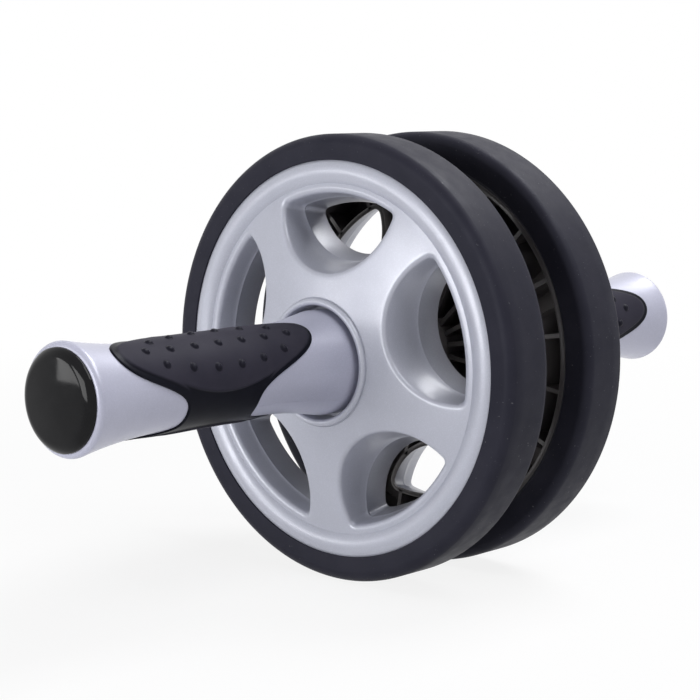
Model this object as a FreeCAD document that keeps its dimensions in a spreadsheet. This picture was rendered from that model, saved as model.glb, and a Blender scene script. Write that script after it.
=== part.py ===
import FreeCAD, Part
import math
import os
import types

import Sketcher

# An ab wheel roller: two spoked wheels that turn on one steel axle, with a handle on each end.
# The axle lies along Y at the height of the tyre's radius, the floor is Z = 0, and every piece is
# drawn about its own Z axis, which points out along the axle from the middle of the roller.
# Lengths are in millimetres, angles in degrees, and a "level" is a distance from the middle.

SIZES = {
    # Tyre
    "tyre_radius": 92.5,
    "tyre_depth": 13.1,
    "tyre_width": 24.4,
    "tyre_gap": 26.0,
    "tyre_inner_round": 4.0,
    "tyre_inner_bevel": 1.6,
    "tyre_shoulder_width": 3.1,
    "tyre_shoulder_drop": 5.2,
    # Rim of the wheel, which the tyre sits on
    "rim_wall": 2.4,
    "rim_flange_height": 2.5,
    "rim_flange_width": 2.2,
    "rim_lip_width": 9.5,
    "rim_lip_step": 0.8,
    "rim_lip_rise": 1.8,
    "rim_groove_depth": 1.0,
    # Front face of the wheel, from the rim's groove up to the hub's collar
    "face_rise": 10.0,
    "face_crown": 0.9,
    "face_wall": 3.2,
    "spoke_count": 5,
    "spoke_width": 18.6,
    # Tapered pockets between the spokes
    "pocket_rim_land": 3.0,
    "pocket_hub_land": 10.9,
    "pocket_wall": 2.2,
    "pocket_corner": 2.6,
    "pocket_flare": 2.8,
    "pocket_crease_depth": 9.4,
    "pocket_crease_inset": 2.7,
    "pocket_back_depth": 19.0,
    "pocket_back_inset": 5.9,
    "pocket_edge_round": 2.2,
    # Ribs on the wheel's open back
    "rib_count": 20,
    "rib_width": 1.8,
    "rib_inset": 3.8,
    # Hub of the wheel
    "hub_wall": 5.5,
    "hub_inset": 1.0,
    "hub_floor_wall": 3.7,
    "collar_wall": 3.3,
    "collar_rise": 2.2,
    "collar_seam_width": 0.6,
    "collar_seam_depth": 0.2,
    "collar_neck_gap": 1.9,
    # Axle, with a thinner end in each handle and a tapped hole in each end face
    "axle_radius": 6.0,
    "axle_end_radius": 5.0,
    "axle_shoulder_level": 39.0,
    "axle_end_inset": 0.5,
    "axle_chamfer": 0.6,
    "tapped_hole_depth": 20.0,
    # Bushes pressed into the hub, thrust washers and the spacer between the wheels
    "bush_wall": 3.45,
    "bush_flange_width": 5.0,
    "bush_flange_thickness": 2.0,
    "outer_bush_length": 13.0,
    "inner_bush_length": 10.0,
    "thrust_washer_radius": 15.0,
    "thrust_washer_thickness": 2.0,
    "spacer_radius": 9.5,
    "running_clearance": 0.05,
    "end_float": 0.3,
    # Handle, a hollow moulding with ribs round its bore
    "neck_radius": 21.5,
    "neck_chamfer": 0.8,
    "neck_length": 8.0,
    "taper_length": 41.0,
    "waist_radius": 17.2,
    "waist_length": 48.0,
    "flare_radius": 21.35,
    "flare_length": 40.5,
    "handle_end_round": 2.6,
    "handle_end_sag": 0.12,
    "handle_end_drop": 1.6,
    "handle_wall": 3.2,
    "handle_boss_wall": 3.6,
    "handle_floor_wall": 7.0,
    "handle_rib_count": 4,
    "handle_rib_width": 2.0,
    "screw_recess_depth": 14.0,
    # Rubber grip moulded over the handle
    "grip_thickness": 1.1,
    "grip_half_length": 32.4,
    "grip_wave": 15.0,
    "grip_middle": 66.0,
    "right_grip_turn_angle": 54.0,
    "left_grip_turn_angle": 22.0,
    # Domed end cap, which sits on the handle's end and plugs into it
    "cap_edge_inset": 0.45,
    "cap_edge_height": 0.9,
    "cap_shoulder_width": 4.0,
    "cap_shoulder_rise": 2.4,
    "cap_dome_rise": 0.8,
    "cap_ledge_width": 2.9,
    "cap_clearance": 0.12,
    "cap_plug_wall": 1.8,
    "cap_plug_length": 6.0,
    "cap_wall": 2.2,
    # Screw and washer that hold the handle on the axle
    "screw_radius": 3.0,
    "screw_length": 18.0,
    "screw_head_radius": 5.0,
    "screw_head_height": 5.0,
    "screw_socket_width": 5.0,
    "screw_socket_depth": 2.8,
    "screw_washer_radius": 8.0,
    "screw_washer_thickness": 1.2,
    # How far each wheel stands turned about the axle
    "right_wheel_turn_angle": 88.0,
    "left_wheel_turn_angle": 117.5,
    # How far a cut runs past what it cuts
    "overrun": 2.0,
}

# Where the middle of a bend lies, as a share of its rise
TANGENT_BEND_SHARE = 0.25
ROUND_BEND_SHARE = 0.707
MIDDLE_SHARE = 0.5
# Where the middle of the cap's shoulder lies, as shares of its width and of its rise
CAP_BEND_SHARES = (0.58, 0.68)
# Where the sections of a saddle stand, as shares of its half width
SADDLE_SHARES = (-1, -0.5, 0, 0.5, 1)
SOCKET_SIDES = 6


class Size:
    """A number together with the sheet expression that works it out."""

    def __init__(self, value, text):
        self.value = value
        self.text = text

    def join(self, other, value, sign):
        return Size(value, f"({self.text} {sign} {as_size(other).text})")

    def __add__(self, other):
        return self.join(other, self.value + as_size(other).value, "+")

    def __sub__(self, other):
        return self.join(other, self.value - as_size(other).value, "-")

    def __mul__(self, other):
        return self.join(other, self.value * as_size(other).value, "*")

    def __truediv__(self, other):
        return self.join(other, self.value / as_size(other).value, "/")

    def __neg__(self):
        return Size(-self.value, f"(-{self.text})")


def as_size(number):
    return number if isinstance(number, Size) else Size(float(number), repr(float(number)))


def sine(angle):
    return Size(math.sin(math.radians(angle.value)), f"sin({angle.text})")


def between(first, second, share):
    return first + (second - first) * share


ZERO = as_size(0)
WHOLE = as_size(1)
FULL_TURN = as_size(360)
HALF_TURN = as_size(180)
SADDLE_TURN = as_size(45)

doc = FreeCAD.newDocument("ab_roller")
sheet = doc.addObject("Spreadsheet::Sheet", "sizes")
for row, (alias, number) in enumerate(SIZES.items(), start=1):
    sheet.set(f"A{row}", alias)
    sheet.set(f"B{row}", str(number))
    sheet.setAlias(f"B{row}", alias)
doc.recompute()
S = types.SimpleNamespace(**{alias: Size(number, f"sizes.{alias}") for alias, number in SIZES.items()})

# Levels and radii that several pieces share
tyre_inner_level = S.tyre_gap / 2
tyre_outer_level = tyre_inner_level + S.tyre_width
tyre_seat_radius = S.tyre_radius - S.tyre_depth
rim_back_level = tyre_inner_level + S.tyre_inner_bevel
rim_flange_level = tyre_outer_level - S.rim_flange_width
lip_radius = tyre_seat_radius + S.rim_flange_height
groove_radius = lip_radius - S.rim_lip_width
groove_level = tyre_outer_level - S.rim_groove_depth
face_top_level = groove_level + S.face_rise
socket_radius = S.neck_radius + S.collar_neck_gap
collar_radius = socket_radius + S.collar_wall
collar_top_level = face_top_level + S.collar_rise
bush_bore_radius = S.axle_radius + S.running_clearance
bush_radius = bush_bore_radius + S.bush_wall
bush_flange_radius = bush_radius + S.bush_flange_width
hub_back_level = tyre_inner_level - S.hub_inset
hub_floor_level = S.axle_shoulder_level - S.end_float - S.bush_flange_thickness
hub_radius = bush_radius + S.hub_wall
spacer_half_length = hub_back_level - S.bush_flange_thickness - S.end_float
handle_start = S.axle_shoulder_level + S.thrust_washer_thickness
neck_end = handle_start + S.neck_length
waist_start = neck_end + S.taper_length
waist_end = waist_start + S.waist_length
flare_end = waist_end + S.flare_length
handle_end = flare_end + S.handle_end_round
handle_end_radius = S.flare_radius - S.handle_end_drop
cap_radius = handle_end_radius - S.cap_edge_inset
cap_plug_radius = cap_radius - S.cap_ledge_width
boss_top_level = handle_end - S.screw_recess_depth
axle_end_level = boss_top_level - S.axle_end_inset
screw_seat_level = boss_top_level + S.screw_washer_thickness
slip_bore_radius = S.axle_end_radius + S.running_clearance


def new_body(name, turn=ZERO):
    """A body on the axle's line whose Z axis points out along its side of the axle."""
    body = doc.addObject("PartDesign::Body", name)
    body.Label = name
    outward = FreeCAD.Rotation(FreeCAD.Vector(1, 0, 0), 90)
    if name.startswith("left"):
        outward = FreeCAD.Rotation(FreeCAD.Vector(0, 0, 1), 180) * outward
    own_turn = FreeCAD.Rotation(FreeCAD.Vector(0, 0, 1), turn.value)
    body.Placement = FreeCAD.Placement(FreeCAD.Vector(), outward * own_turn)
    body.setExpression("Placement.Base.z", S.tyre_radius.text)
    return body


def new_sketch(body, name, role, level=None):
    sketch = body.newObject("Sketcher::SketchObject", f"{body.Label}_{name}")
    plane = next(feature for feature in body.Origin.OriginFeatures if feature.Role == role)
    sketch.AttachmentSupport = (plane, "")
    sketch.MapMode = "FlatFace"
    if level is not None:
        sketch.setExpression("AttachmentOffset.Base.z", level.text)
    return sketch


def bind(sketch, kind, *where, size):
    """A measured constraint whose value follows the sheet."""
    index = sketch.addConstraint(Sketcher.Constraint(kind, *where, size.value))
    sketch.setExpression(f"Constraints[{index}]", size.text)


def pin_point(sketch, geometry, end, x, y):
    bind(sketch, "DistanceX", -1, 1, geometry, end, size=x)
    bind(sketch, "DistanceY", -1, 1, geometry, end, size=y)


def vector(x, y):
    return FreeCAD.Vector(x.value, y.value, 0)


def add_run(sketch, start, corner):
    """A line to a corner, or an arc to it through a middle point, and the number of each end.

    An arc that ends on the axis is part of a dome, so its centre lies on the axis as well.
    """
    first, last = vector(*start), vector(*corner[:2])
    if len(corner) == 2:
        return sketch.addGeometry(Part.LineSegment(first, last), False), 1, 2
    middle = vector(*corner[2:])
    turns_left = (middle - first).cross(last - middle).z > 0
    ends = (first, middle, last) if turns_left else (last, middle, first)
    arc = sketch.addGeometry(Part.Arc(*ends), False)
    if corner[0] is ZERO:
        sketch.addConstraint(Sketcher.Constraint("PointOnObject", arc, 3, -2))
    else:
        point = sketch.addGeometry(Part.Point(middle), True)
        sketch.addConstraint(Sketcher.Constraint("PointOnObject", point, 1, arc))
        pin_point(sketch, point, 1, *corner[2:])
    return (arc, 1, 2) if turns_left else (arc, 2, 1)


def draw_outline(sketch, corners):
    """A closed outline. A corner is (x, y), or (x, y, middle x, middle y) at the end of an arc."""
    runs = []
    for index, corner in enumerate(corners):
        runs.append(add_run(sketch, corners[index - 1][:2], corner))
    for index, corner in enumerate(corners):
        geometry, start, end = runs[index]
        following, next_start, next_end = runs[(index + 1) % len(runs)]
        sketch.addConstraint(Sketcher.Constraint("Coincident", geometry, end, following, next_start))
        pin_point(sketch, geometry, end, *corner[:2])
    return sketch


def revolve(body, name, corners, kind="PartDesign::Revolution"):
    """Turns an outline of (radius, level) corners about the body's own axis."""
    sketch = draw_outline(new_sketch(body, f"{name}_outline", "XZ_Plane"), corners)
    feature = body.newObject(kind, f"{body.Label}_{name}")
    feature.Profile = sketch
    feature.ReferenceAxis = (sketch, ["V_Axis"])
    feature.setExpression("Angle", FULL_TURN.text)
    doc.recompute()
    return feature


def turned_piece(name, corners, turn=ZERO):
    body = new_body(name, turn)
    revolve(body, "form", corners)
    return body


def ring_piece(name, inner, outer, low, high):
    return turned_piece(name, [(inner, low), (outer, low), (outer, high), (inner, high)])


def repeat_round(body, feature, count):
    """Copies of a feature spaced evenly round the body's axis."""
    pattern = body.newObject("PartDesign::PolarPattern", f"{feature.Name}_pattern")
    pattern.Originals = [feature]
    axis = next(part for part in body.Origin.OriginFeatures if part.Role == "Z_Axis")
    pattern.Axis = (axis, [""])
    pattern.setExpression("Angle", FULL_TURN.text)
    pattern.setExpression("Occurrences", count.text)
    body.Tip = pattern
    doc.recompute()
    return pattern


def loft(body, name, sketches, kind):
    feature = body.newObject(kind, f"{body.Label}_{name}")
    feature.Profile = sketches[0]
    feature.Sections = sketches[1:]
    feature.Ruled = True
    doc.recompute()
    return feature


def rib(body, name, corners, width):
    """A flat rib through the body's axis plane."""
    sketch = draw_outline(new_sketch(body, f"{name}_outline", "XZ_Plane"), corners)
    feature = body.newObject("PartDesign::Pad", f"{body.Label}_{name}")
    feature.Profile = sketch
    feature.Midplane = True
    feature.setExpression("Length", width.text)
    doc.recompute()
    return feature


def face_outline(drop=ZERO, start_radius=groove_radius, end_radius=collar_radius):
    """The spokes' crowned face, lowered by drop: its outer end, its middle and its inner end."""
    start = (start_radius, groove_level - drop)
    end = (end_radius, face_top_level - drop)
    middle_level = between(start[1], end[1], MIDDLE_SHARE) + S.face_crown
    middle = (between(start_radius, end_radius, MIDDLE_SHARE), middle_level)
    return start, middle, end


def pocket_sketch(body, name, level, growth, wall):
    """A pocket's outline at one level: a circle between two spokes, cut by the rim and rounded."""
    corner = S.pocket_corner + wall
    reach = groove_radius - S.pocket_rim_land + growth + wall
    half_step = sine(FULL_TURN / S.spoke_count / 2)
    centre = (collar_radius + S.pocket_hub_land - S.spoke_width / 2) / (WHOLE - half_step)
    radius = centre * half_step - S.spoke_width / 2 + growth + wall
    inner_reach = reach.value - corner.value
    inner_radius = radius.value - corner.value
    x = (inner_reach**2 - inner_radius**2 + centre.value**2) / (2 * centre.value)
    y = math.sqrt(inner_reach**2 - x**2)
    middle = FreeCAD.Vector(centre.value, 0, 0)
    upper = FreeCAD.Vector(x, y, 0)
    lower = FreeCAD.Vector(x, -y, 0)
    on_circle = [middle + (spot - middle) * (radius.value / inner_radius) for spot in (upper, lower)]
    on_rim = [spot * (reach.value / inner_reach) for spot in (upper, lower)]
    back = middle - FreeCAD.Vector(radius.value, 0, 0)
    front = FreeCAD.Vector(reach.value, 0, 0)

    def bulge(spot, first, last):
        return spot + ((first + last) / 2 - spot).normalize() * corner.value

    sketch = new_sketch(body, name, "XY_Plane", level)
    arcs = [
        (on_circle[0], back, on_circle[1]),
        (on_circle[1], bulge(lower, on_circle[1], on_rim[1]), on_rim[1]),
        (on_rim[1], front, on_rim[0]),
        (on_rim[0], bulge(upper, on_rim[0], on_circle[0]), on_circle[0]),
    ]
    for arc in arcs:
        sketch.addGeometry(Part.Arc(*arc), False)
    for index in range(len(arcs)):
        following = (index + 1) % len(arcs)
        sketch.addConstraint(Sketcher.Constraint("Tangent", index, 2, following, 1))
    sketch.addConstraint(Sketcher.Constraint("PointOnObject", 0, 3, -1))
    sketch.addConstraint(Sketcher.Constraint("Coincident", 2, 3, -1, 1))
    sketch.addConstraint(Sketcher.Constraint("Equal", 1, 3))
    bind(sketch, "DistanceX", -1, 1, 0, 3, size=centre)
    bind(sketch, "Radius", 0, size=radius)
    bind(sketch, "Radius", 2, size=reach)
    bind(sketch, "Radius", 1, size=corner)
    return sketch


def pocket_sketches(body, name, wall, back_run):
    """A pocket's three levels, from above the face down to its open back."""
    sections = [
        ("top", collar_top_level + S.overrun, S.pocket_flare),
        ("crease", tyre_outer_level - S.pocket_crease_depth, -S.pocket_crease_inset),
        ("back", tyre_outer_level - S.pocket_back_depth - back_run, -S.pocket_back_inset),
    ]
    return [pocket_sketch(body, f"{name}_{place}", level, growth, wall)
            for place, level, growth in sections]


def mouth_edges(shape):
    """The names of the edges where the pockets break the front face, which is the largest one."""
    raised = [face for face in shape.Faces if face.CenterOfMass.z > groove_level.value]
    front = max(raised, key=lambda face: face.Area)
    mouths = [edge for edge in front.Edges if not edge.isClosed() and not edge.isSeam(front)]
    return [f"Edge{number}" for number, edge in enumerate(shape.Edges, start=1)
            if any(edge.isSame(mouth) for mouth in mouths)]


def make_wheel(side, turn):
    """A moulded wheel: ribbed back, crowned face, five tapered pockets and a collared hub."""
    body = new_body(f"{side}_wheel", turn)
    blank_level = collar_top_level + S.overrun * 2
    under_start, under_middle, under_end = face_outline(drop=S.face_wall)
    rim_inner_radius = tyre_seat_radius - S.rim_wall
    floor_under_level = hub_floor_level - S.hub_floor_wall
    revolve(body, "blank", [
        (bush_radius, hub_back_level),
        (hub_radius, hub_back_level),
        (hub_radius, floor_under_level),
        (collar_radius, floor_under_level),
        under_end,
        under_start + under_middle,
        (rim_inner_radius, under_start[1]),
        (rim_inner_radius, rim_back_level),
        (tyre_seat_radius, rim_back_level),
        (tyre_seat_radius, rim_flange_level),
        (lip_radius, rim_flange_level),
        (lip_radius, blank_level),
        (socket_radius, blank_level),
        (socket_radius, hub_floor_level),
        (bush_radius, hub_floor_level),
    ])

    rib_low = rim_back_level + S.rib_inset
    rib_inner = hub_radius - S.hub_wall / 2
    rib_outer = tyre_seat_radius - S.rim_wall / 2
    rib_turn_in = collar_radius - S.collar_wall / 2
    rib_top = hub_floor_level - S.hub_floor_wall / 2
    inside_start, inside_middle, inside_end = face_outline(drop=S.face_wall / 2, end_radius=rib_turn_in)
    back_rib = rib(body, "rib", [
        (rib_inner, rib_low),
        (rib_outer, rib_low),
        (rib_outer, inside_start[1]),
        inside_start,
        inside_end + inside_middle,
        (rib_turn_in, rib_top),
        (rib_inner, rib_top),
    ], S.rib_width)
    repeat_round(body, back_rib, S.rib_count)

    walls = loft(body, "pocket_wall", pocket_sketches(body, "wall", S.pocket_wall, ZERO),
                 "PartDesign::AdditiveLoft")
    repeat_round(body, walls, S.spoke_count)

    face_start, face_middle, face_end = face_outline()
    lip_edge_level = tyre_outer_level - S.rim_lip_step
    lip_middle = (between(lip_radius, groove_radius, MIDDLE_SHARE), lip_edge_level + S.rim_lip_rise)
    seam_middle = (collar_radius - S.collar_seam_width / 2, face_top_level - S.collar_seam_depth)
    collar_start = (collar_radius - S.collar_seam_width, face_top_level)
    collar_middle = (between(collar_start[0], socket_radius, MIDDLE_SHARE), collar_top_level)
    collar_inner_level = between(face_top_level, collar_top_level, MIDDLE_SHARE)
    clear_level = blank_level + S.overrun
    clear_radius = lip_radius + S.overrun
    revolve(body, "front", [
        (clear_radius, clear_level),
        (clear_radius, lip_edge_level),
        (lip_radius, lip_edge_level),
        face_start + lip_middle,
        face_end + face_middle,
        seam_middle,
        collar_start,
        (socket_radius, collar_inner_level) + collar_middle,
        (socket_radius - S.overrun, collar_inner_level),
        (socket_radius - S.overrun, clear_level),
    ], "PartDesign::Groove")

    pocket = loft(body, "pocket", pocket_sketches(body, "pocket", ZERO, S.overrun),
                  "PartDesign::SubtractiveLoft")
    pockets = repeat_round(body, pocket, S.spoke_count)

    rounding = body.newObject("PartDesign::Fillet", f"{body.Label}_pocket_edges")
    rounding.Base = (pockets, mouth_edges(pockets.Shape))
    rounding.setExpression("Radius", S.pocket_edge_round.text)
    doc.recompute()
    return body


def make_tyre(side):
    """A solid rubber tyre: flat tread, rounded inner edge and a fuller outer shoulder."""
    tread_end = tyre_outer_level - S.tyre_shoulder_width
    shoulder_radius = S.tyre_radius - S.tyre_shoulder_drop
    inner_round_start = S.tyre_radius - S.tyre_inner_round
    inner_round_end = tyre_inner_level + S.tyre_inner_round
    return turned_piece(f"{side}_tyre", [
        (tyre_seat_radius, rim_back_level),
        (tyre_seat_radius + S.tyre_inner_bevel, tyre_inner_level),
        (inner_round_start, tyre_inner_level),
        (S.tyre_radius, inner_round_end,
         inner_round_start + S.tyre_inner_round * ROUND_BEND_SHARE,
         inner_round_end - S.tyre_inner_round * ROUND_BEND_SHARE),
        (S.tyre_radius, tread_end),
        (shoulder_radius, tyre_outer_level,
         shoulder_radius + S.tyre_shoulder_drop * ROUND_BEND_SHARE,
         tread_end + S.tyre_shoulder_width * ROUND_BEND_SHARE),
        (lip_radius, tyre_outer_level),
        (lip_radius, rim_flange_level),
        (tyre_seat_radius, rim_flange_level),
    ])


def make_bushes(side):
    """Two flanged bushes, pressed into the hub from its front and from its back."""
    outer_end = hub_floor_level - S.outer_bush_length
    outer_flange_level = hub_floor_level + S.bush_flange_thickness
    turned_piece(f"{side}_outer_bush", [
        (bush_bore_radius, outer_end),
        (bush_radius, outer_end),
        (bush_radius, hub_floor_level),
        (bush_flange_radius, hub_floor_level),
        (bush_flange_radius, outer_flange_level),
        (bush_bore_radius, outer_flange_level),
    ])
    inner_end = hub_back_level + S.inner_bush_length
    inner_flange_level = hub_back_level - S.bush_flange_thickness
    turned_piece(f"{side}_inner_bush", [
        (bush_bore_radius, inner_flange_level),
        (bush_flange_radius, inner_flange_level),
        (bush_flange_radius, hub_back_level),
        (bush_radius, hub_back_level),
        (bush_radius, inner_end),
        (bush_bore_radius, inner_end),
    ])


def handle_side(growth):
    """The handle's outer line from the neck to the flare, moved out by growth."""
    taper_middle = between(waist_start, neck_end, MIDDLE_SHARE)
    taper_bend = between(S.waist_radius, S.neck_radius, TANGENT_BEND_SHARE)
    flare_middle = between(waist_end, flare_end, MIDDLE_SHARE)
    flare_bend = between(S.waist_radius, S.flare_radius, TANGENT_BEND_SHARE)
    return [
        (S.neck_radius + growth, neck_end),
        (S.waist_radius + growth, waist_start, taper_bend + growth, taper_middle),
        (S.waist_radius + growth, waist_end),
        (S.flare_radius + growth, flare_end, flare_bend + growth, flare_middle),
    ]


def make_handle(side):
    """A waisted handle with a recess for the screw and a ribbed hollow round its bore."""
    recess_radius = cap_plug_radius + S.cap_clearance
    boss_radius = slip_bore_radius + S.handle_boss_wall
    hollow_radius = S.waist_radius - S.handle_wall
    hollow_start = neck_end + S.handle_floor_wall
    recess_floor = boss_top_level - S.screw_washer_thickness
    end_middle = between(flare_end, handle_end, MIDDLE_SHARE)
    body = turned_piece(f"{side}_handle", [
        (slip_bore_radius, handle_start),
        (S.neck_radius - S.neck_chamfer, handle_start),
        (S.neck_radius, handle_start + S.neck_chamfer),
        *handle_side(ZERO),
        (handle_end_radius, handle_end, S.flare_radius - S.handle_end_sag, end_middle),
        (recess_radius, handle_end),
        (recess_radius, recess_floor),
        (hollow_radius, recess_floor),
        (hollow_radius, hollow_start),
        (boss_radius, hollow_start),
        (boss_radius, boss_top_level),
        (slip_bore_radius, boss_top_level),
    ])
    rib_inner = boss_radius - S.handle_boss_wall / 2
    rib_outer = hollow_radius + S.handle_wall / 2
    rib_low = hollow_start - S.handle_floor_wall / 2
    handle_rib = rib(body, "rib", [
        (rib_inner, rib_low),
        (rib_outer, rib_low),
        (rib_outer, recess_floor),
        (rib_inner, recess_floor),
    ], S.handle_rib_width)
    repeat_round(body, handle_rib, S.handle_rib_count)
    return body


def grip_cut(body, name, middle_level, outward):
    """Trims one end of the sleeve with a saddle, so that its edge runs in two waves round it."""
    half_width = S.neck_radius + S.flare_radius
    sleeve_radius = S.waist_radius + S.grip_thickness
    tilt = S.grip_wave * 2 * (half_width / sleeve_radius) * (half_width / sleeve_radius)
    far_level = handle_end + tilt if outward else middle_level - tilt - S.taper_length
    lean = tilt if outward else -tilt
    sketches = []
    for number, share in enumerate(SADDLE_SHARES):
        sketch = new_sketch(body, f"{name}_{number}", "YZ_Plane", half_width * share)
        sketches.append(draw_outline(sketch, [
            (-half_width, middle_level - lean * share),
            (half_width, middle_level + lean * share),
            (half_width, far_level),
            (-half_width, far_level),
        ]))
    return loft(body, name, sketches, "PartDesign::SubtractiveLoft")


def make_grip(side):
    """A rubber sleeve over the handle's waist, with long tongues on two sides at each end."""
    turn = S.right_grip_turn_angle - SADDLE_TURN
    if side == "left":
        turn = HALF_TURN - S.left_grip_turn_angle - SADDLE_TURN
    inner = handle_side(ZERO)
    outer = handle_side(S.grip_thickness)
    neck, waist, waist_stop, flare = outer
    body = turned_piece(f"{side}_grip", [
        *inner,
        flare[:2],
        (waist_stop[0], waist_stop[1], flare[2], flare[3]),
        waist[:2],
        (neck[0], neck[1], waist[2], waist[3]),
    ], turn)
    middle = neck_end + S.grip_middle
    grip_cut(body, "outer_end", middle + S.grip_half_length, True)
    grip_cut(body, "inner_end", middle - S.grip_half_length, False)
    return body


def make_end_cap(side):
    """A domed cap with a ring behind it that plugs the handle's recess."""
    edge_level = handle_end + S.cap_edge_height
    shoulder_level = edge_level + S.cap_shoulder_rise
    shoulder_radius = cap_radius - S.cap_shoulder_width
    dome_level = shoulder_level + S.cap_dome_rise
    dome_bend = between(dome_level, shoulder_level, TANGENT_BEND_SHARE)
    plug_inner = cap_plug_radius - S.cap_plug_wall
    plug_end = handle_end - S.cap_plug_length
    under_level = shoulder_level - S.cap_wall
    return turned_piece(f"{side}_end_cap", [
        (ZERO, under_level),
        (plug_inner, under_level),
        (plug_inner, plug_end),
        (cap_plug_radius, plug_end),
        (cap_plug_radius, handle_end),
        (cap_radius, handle_end),
        (cap_radius, edge_level),
        (shoulder_radius, shoulder_level,
         shoulder_radius + S.cap_shoulder_width * CAP_BEND_SHARES[0],
         edge_level + S.cap_shoulder_rise * CAP_BEND_SHARES[1]),
        (ZERO, dome_level, shoulder_radius / 2, dome_bend),
    ])


def make_screw(side):
    """A cap screw with a hexagon socket, driven into the axle's end."""
    body = turned_piece(f"{side}_end_screw", [
        (ZERO, screw_seat_level - S.screw_length),
        (S.screw_radius, screw_seat_level - S.screw_length),
        (S.screw_radius, screw_seat_level),
        (S.screw_head_radius, screw_seat_level),
        (S.screw_head_radius, screw_seat_level + S.screw_head_height),
        (ZERO, screw_seat_level + S.screw_head_height),
    ])
    socket = new_sketch(body, "socket_outline", "XY_Plane", screw_seat_level + S.screw_head_height)
    side_turn = FULL_TURN / SOCKET_SIDES
    across_corners = S.screw_socket_width / sine(side_turn)
    spots = []
    for corner in range(SOCKET_SIDES):
        angle = math.radians(corner * side_turn.value)
        spots.append(FreeCAD.Vector(math.cos(angle), math.sin(angle), 0) * (across_corners.value / 2))
    ring = socket.addGeometry(Part.Circle(FreeCAD.Vector(), FreeCAD.Vector(0, 0, 1),
                                          across_corners.value / 2), True)
    socket.addConstraint(Sketcher.Constraint("Coincident", ring, 3, -1, 1))
    bind(socket, "Diameter", ring, size=across_corners)
    sides = [socket.addGeometry(Part.LineSegment(spots[index - 1], spots[index]), False)
             for index in range(SOCKET_SIDES)]
    for index, line in enumerate(sides):
        following = sides[(index + 1) % SOCKET_SIDES]
        socket.addConstraint(Sketcher.Constraint("Coincident", line, 2, following, 1))
        socket.addConstraint(Sketcher.Constraint("PointOnObject", line, 2, ring))
        if index:
            socket.addConstraint(Sketcher.Constraint("Equal", sides[0], line))
    socket.addConstraint(Sketcher.Constraint("PointOnObject", sides[0], 2, -1))
    cut = body.newObject("PartDesign::Pocket", f"{body.Label}_socket")
    cut.Profile = socket
    cut.setExpression("Length", S.screw_socket_depth.text)
    doc.recompute()
    return body


def make_axle():
    """A turned bar with a shoulder for each thrust washer and a tapped hole in each end."""
    hole_radius = S.screw_radius + S.running_clearance
    hole_end = axle_end_level - S.tapped_hole_depth
    thin, thick = S.axle_end_radius, S.axle_radius
    shoulder = S.axle_shoulder_level
    return turned_piece("axle", [
        (ZERO, -hole_end),
        (hole_radius, -hole_end),
        (hole_radius, -axle_end_level),
        (thin - S.axle_chamfer, -axle_end_level),
        (thin, S.axle_chamfer - axle_end_level),
        (thin, -shoulder),
        (thick, -shoulder),
        (thick, shoulder),
        (thin, shoulder),
        (thin, axle_end_level - S.axle_chamfer),
        (thin - S.axle_chamfer, axle_end_level),
        (hole_radius, axle_end_level),
        (hole_radius, hole_end),
        (ZERO, hole_end),
    ])


make_axle()
ring_piece("centre_spacer", bush_bore_radius, S.spacer_radius, -spacer_half_length, spacer_half_length)
for side, wheel_turn in (("right", S.right_wheel_turn_angle), ("left", S.left_wheel_turn_angle)):
    make_wheel(side, wheel_turn)
    make_tyre(side)
    make_bushes(side)
    ring_piece(f"{side}_thrust_washer", slip_bore_radius, S.thrust_washer_radius,
               S.axle_shoulder_level, handle_start)
    make_handle(side)
    make_grip(side)
    make_end_cap(side)
    make_screw(side)
    ring_piece(f"{side}_screw_washer", S.screw_radius + S.running_clearance, S.screw_washer_radius,
               boss_top_level, screw_seat_level)
doc.recompute()

failed = [item.Label for item in doc.Objects if {"Invalid", "Error"} & set(item.State)]
pieces = [item for item in doc.Objects if item.TypeId == "PartDesign::Body"]
failed += [item.Label for item in pieces if item.Shape.isNull() or not item.Shape.isValid()]
if failed:
    raise RuntimeError(f"these objects did not build: {sorted(set(failed))}")
os.makedirs("parts", exist_ok=True)
for piece in pieces:
    piece.Shape.exportStep(f"parts/{piece.Label}.step")
    print(f"{piece.Label}: {len(piece.Shape.Solids)} solid, {piece.Shape.Volume / 1000:.2f} cm3")
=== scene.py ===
import math

import bmesh
import bpy
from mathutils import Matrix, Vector


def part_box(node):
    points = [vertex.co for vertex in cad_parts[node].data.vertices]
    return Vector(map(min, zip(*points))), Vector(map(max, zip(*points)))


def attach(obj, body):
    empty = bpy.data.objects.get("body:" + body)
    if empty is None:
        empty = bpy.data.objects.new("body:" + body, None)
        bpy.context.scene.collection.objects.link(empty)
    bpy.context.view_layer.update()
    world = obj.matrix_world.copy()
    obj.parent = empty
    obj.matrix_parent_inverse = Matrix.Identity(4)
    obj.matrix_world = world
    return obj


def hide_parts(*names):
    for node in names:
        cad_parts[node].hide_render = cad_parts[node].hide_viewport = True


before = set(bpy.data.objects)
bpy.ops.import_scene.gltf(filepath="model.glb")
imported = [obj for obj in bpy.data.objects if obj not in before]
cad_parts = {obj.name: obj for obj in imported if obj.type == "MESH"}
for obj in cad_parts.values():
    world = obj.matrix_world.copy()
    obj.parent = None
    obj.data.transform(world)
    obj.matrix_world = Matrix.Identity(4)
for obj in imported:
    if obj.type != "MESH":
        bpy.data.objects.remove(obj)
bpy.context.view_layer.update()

# An ab wheel roller on a pale floor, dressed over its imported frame.
# Lengths are in millimetres until place() turns them into metres. A level is a distance out from the
# middle of the roller along the axle, and an angle about the axle goes from +X towards +Z.

MM = 0.001
OUTWARD = {"right": -1, "left": 1}
WELD_DISTANCE = 2e-6
SHARP_ANGLE = 32
# A share carried at the points: on the grip it picks the matt pads, on the wheel it is painted shade on the
# back and deep in the pockets
FINISH_AND_PAINTED_SHADE = "finish"

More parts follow.
